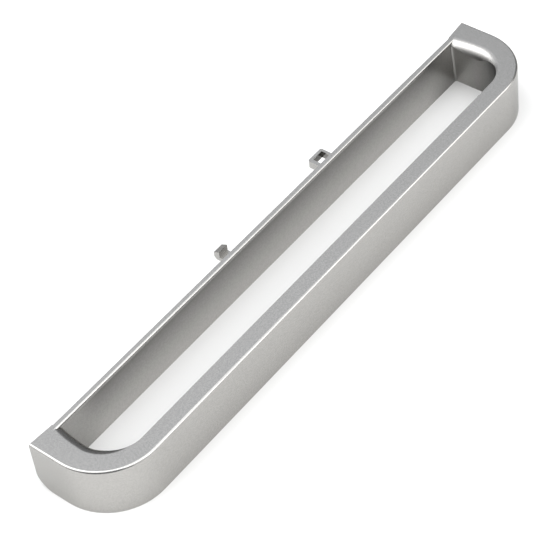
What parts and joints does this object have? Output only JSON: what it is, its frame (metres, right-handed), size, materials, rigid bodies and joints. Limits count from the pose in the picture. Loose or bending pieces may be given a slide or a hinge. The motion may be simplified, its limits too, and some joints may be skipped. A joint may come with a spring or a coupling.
{
  "type": "microwave door handle",
  "caption": "Moulded D-shaped door handle with a wide finger opening, a thin back wall with snap clips, rolled inner edges and a screw bore in each end.",
  "frame": {"origin": "middle of the bounding box on the plane that the handle lies on", "axes": "+X along the handle, +Y out of the door side, through the clips, +Z from the underside to the rolled top edge"},
  "size_m": [0.281, 0.0516, 0.0242],
  "materials": {
    "silver_paint": "satin silver paint"
  },
  "bodies": {
    "root": {"handle": "silver_paint"}
  },
  "joints": []
}
